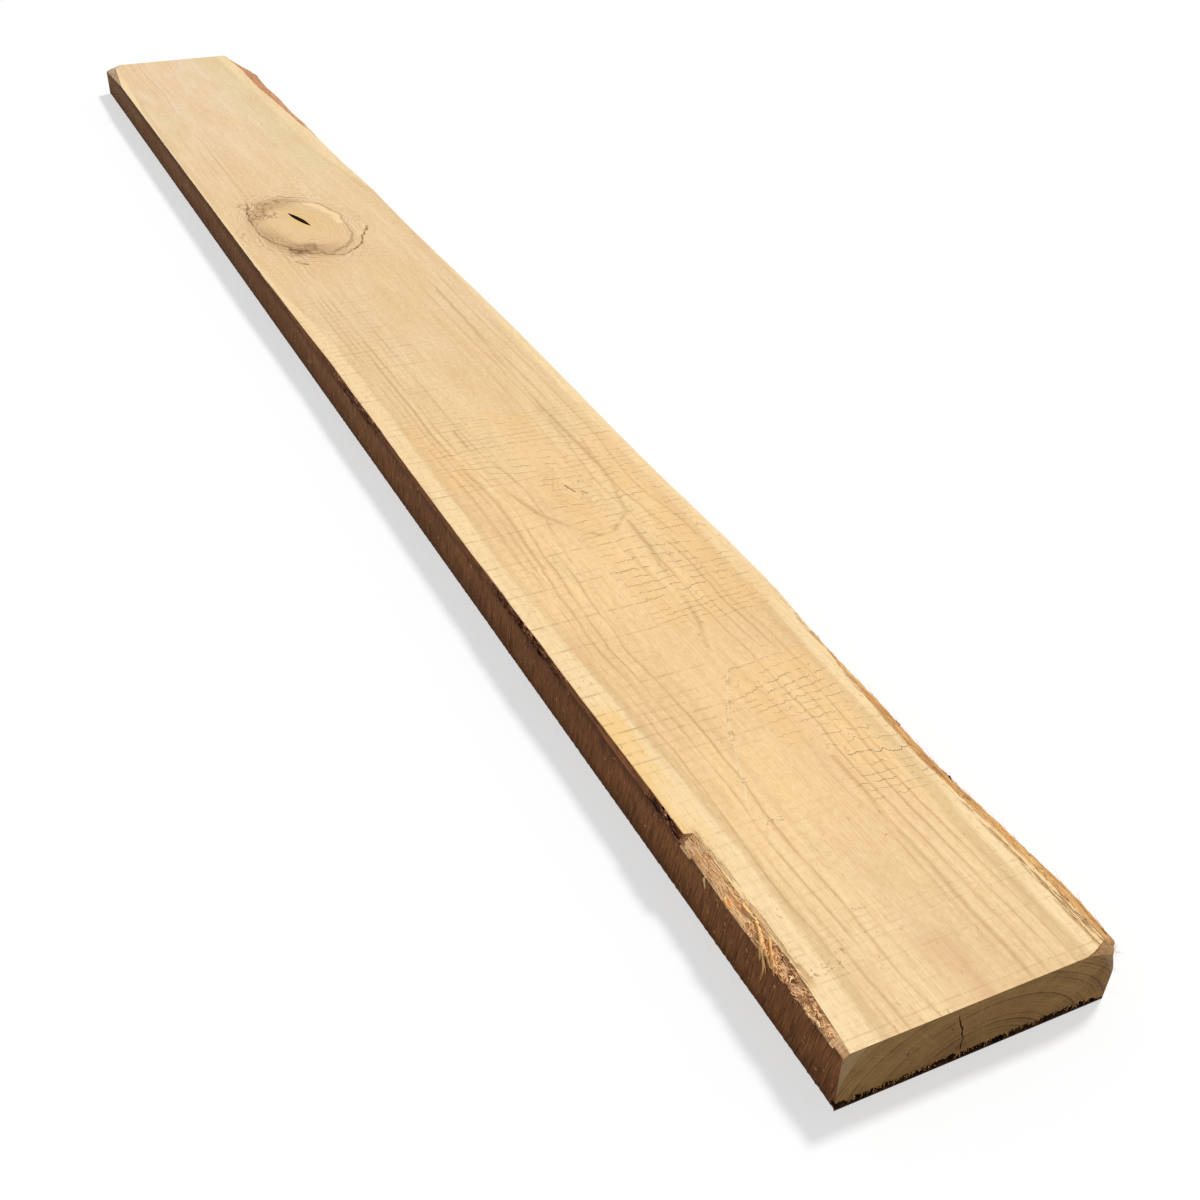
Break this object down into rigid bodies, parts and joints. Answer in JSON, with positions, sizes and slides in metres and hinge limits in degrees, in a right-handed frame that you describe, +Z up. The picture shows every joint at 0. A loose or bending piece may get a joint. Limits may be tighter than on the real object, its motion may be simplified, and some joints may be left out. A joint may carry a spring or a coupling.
{
  "type": "live edge timber plank",
  "caption": "Rough-sawn solid timber plank with square-cut ends, one sawn side and one natural waney edge.",
  "frame": {"origin": "centre of the plank's length and greatest width, on the underside it lies on", "axes": "+X along the plank to the end with the drying check, +Y across to the natural edge, +Z up through the thickness"},
  "size_m": [2.5, 0.2507, 0.05],
  "materials": {
    "rough_timber": "rough-sawn pale golden timber with cream sapwood bands, a brown sawn side, torn golden wane and sparse dark knots"
  },
  "bodies": {
    "root": {"live_edge_plank": "rough_timber"}
  },
  "joints": []
}
